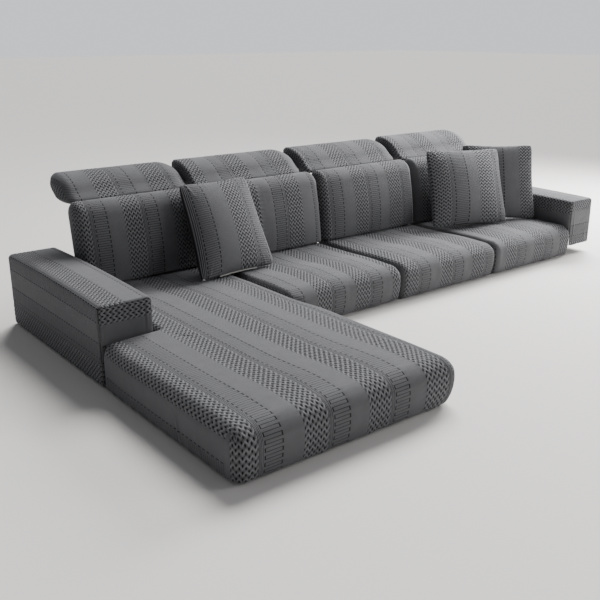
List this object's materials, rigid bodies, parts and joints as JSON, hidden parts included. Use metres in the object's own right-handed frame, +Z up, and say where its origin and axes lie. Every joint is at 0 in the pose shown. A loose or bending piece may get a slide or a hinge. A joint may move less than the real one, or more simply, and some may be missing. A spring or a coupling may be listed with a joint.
{
  "type": "sofa slipcover set with scatter cushions",
  "caption": "Stretch covers for the seats, backs, headrests and arms of an L-shaped sofa, with scatter cushions.",
  "frame": {"origin": "underside of the top of the chaise's seat cover, midway across it and 0.45 m behind its front, where the seat holds it up", "axes": "+X along the sofa's back from the chaise towards the other arm, +Y from the front to the back, +Z up"},
  "size_m": [3.2566, 1.9452, 0.664],
  "materials": {
    "knit": "matt stretch jacquard with raised stripes",
    "zip_tape": "matt woven tape",
    "zip_metal": "satin"
  },
  "bodies": {
    "root": {"cover_seat_chaise": "knit", "cover_seat_left": "knit", "cover_seat_middle": "knit", "cover_seat_right": "knit", "cover_back_chaise": "knit", "cover_back_left": "knit", "cover_back_middle": "knit", "cover_back_right": "knit", "cover_headrest_chaise": "knit", "cover_headrest_left": "knit", "cover_headrest_middle": "knit", "cover_headrest_right": "knit", "cover_arm_left": "knit", "cover_arm_right": "knit", "panel_arm_left": "knit", "panel_arm_right": "knit", "cushion_chaise": "knit", "cushion_front": "knit", "cushion_corner": "knit", "zip_tape": "zip_tape", "zip_pull": "zip_metal"}
  },
  "joints": []
}
